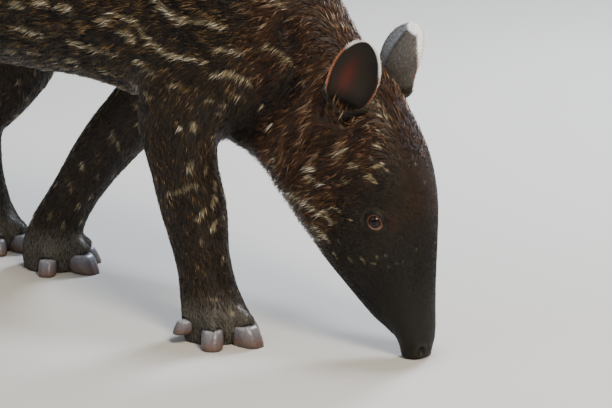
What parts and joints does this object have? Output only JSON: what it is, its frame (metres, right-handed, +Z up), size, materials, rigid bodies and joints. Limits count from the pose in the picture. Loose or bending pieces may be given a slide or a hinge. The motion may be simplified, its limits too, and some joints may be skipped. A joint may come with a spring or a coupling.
{
  "type": "malayan tapir calf",
  "caption": "Young tapir in its spotted calf coat, walking slowly with its head down and its nose at the ground.",
  "frame": {"origin": "on the floor, under the middle of the object's box", "axes": "+X the way the calf faces, +Y its left, +Z up"},
  "size_m": [0.812, 0.231, 0.5065],
  "materials": {
    "coat": "short dark coat with cream streaks and spots",
    "ear_skin": "thin skin with fine hair and a white rim",
    "horn": "grey purple horn, slightly shiny",
    "eye": "wet and dark"
  },
  "bodies": {
    "root": {"ear_left": "ear_skin", "ear_right": "ear_skin", "eye_left": "eye", "eye_right": "eye", "forefoot_left": "coat", "forefoot_right": "coat", "foreleg_left": "coat", "foreleg_right": "coat", "head": "coat", "hindfoot_left": "coat", "hindfoot_right": "coat", "hindleg_left": "coat", "hindleg_right": "coat", "hoof_forefoot_left_2": "horn", "hoof_forefoot_left_3": "horn", "hoof_forefoot_left_4": "horn", "hoof_forefoot_left_5": "horn", "hoof_forefoot_right_2": "horn", "hoof_forefoot_right_3": "horn", "hoof_forefoot_right_4": "horn", "hoof_forefoot_right_5": "horn", "hoof_hindfoot_left_2": "horn", "hoof_hindfoot_left_3": "horn", "hoof_hindfoot_left_4": "horn", "hoof_hindfoot_right_2": "horn", "hoof_hindfoot_right_3": "horn", "hoof_hindfoot_right_4": "horn", "neck": "coat", "proboscis": "coat", "tail": "coat", "torso": "coat"}
  },
  "joints": []
}
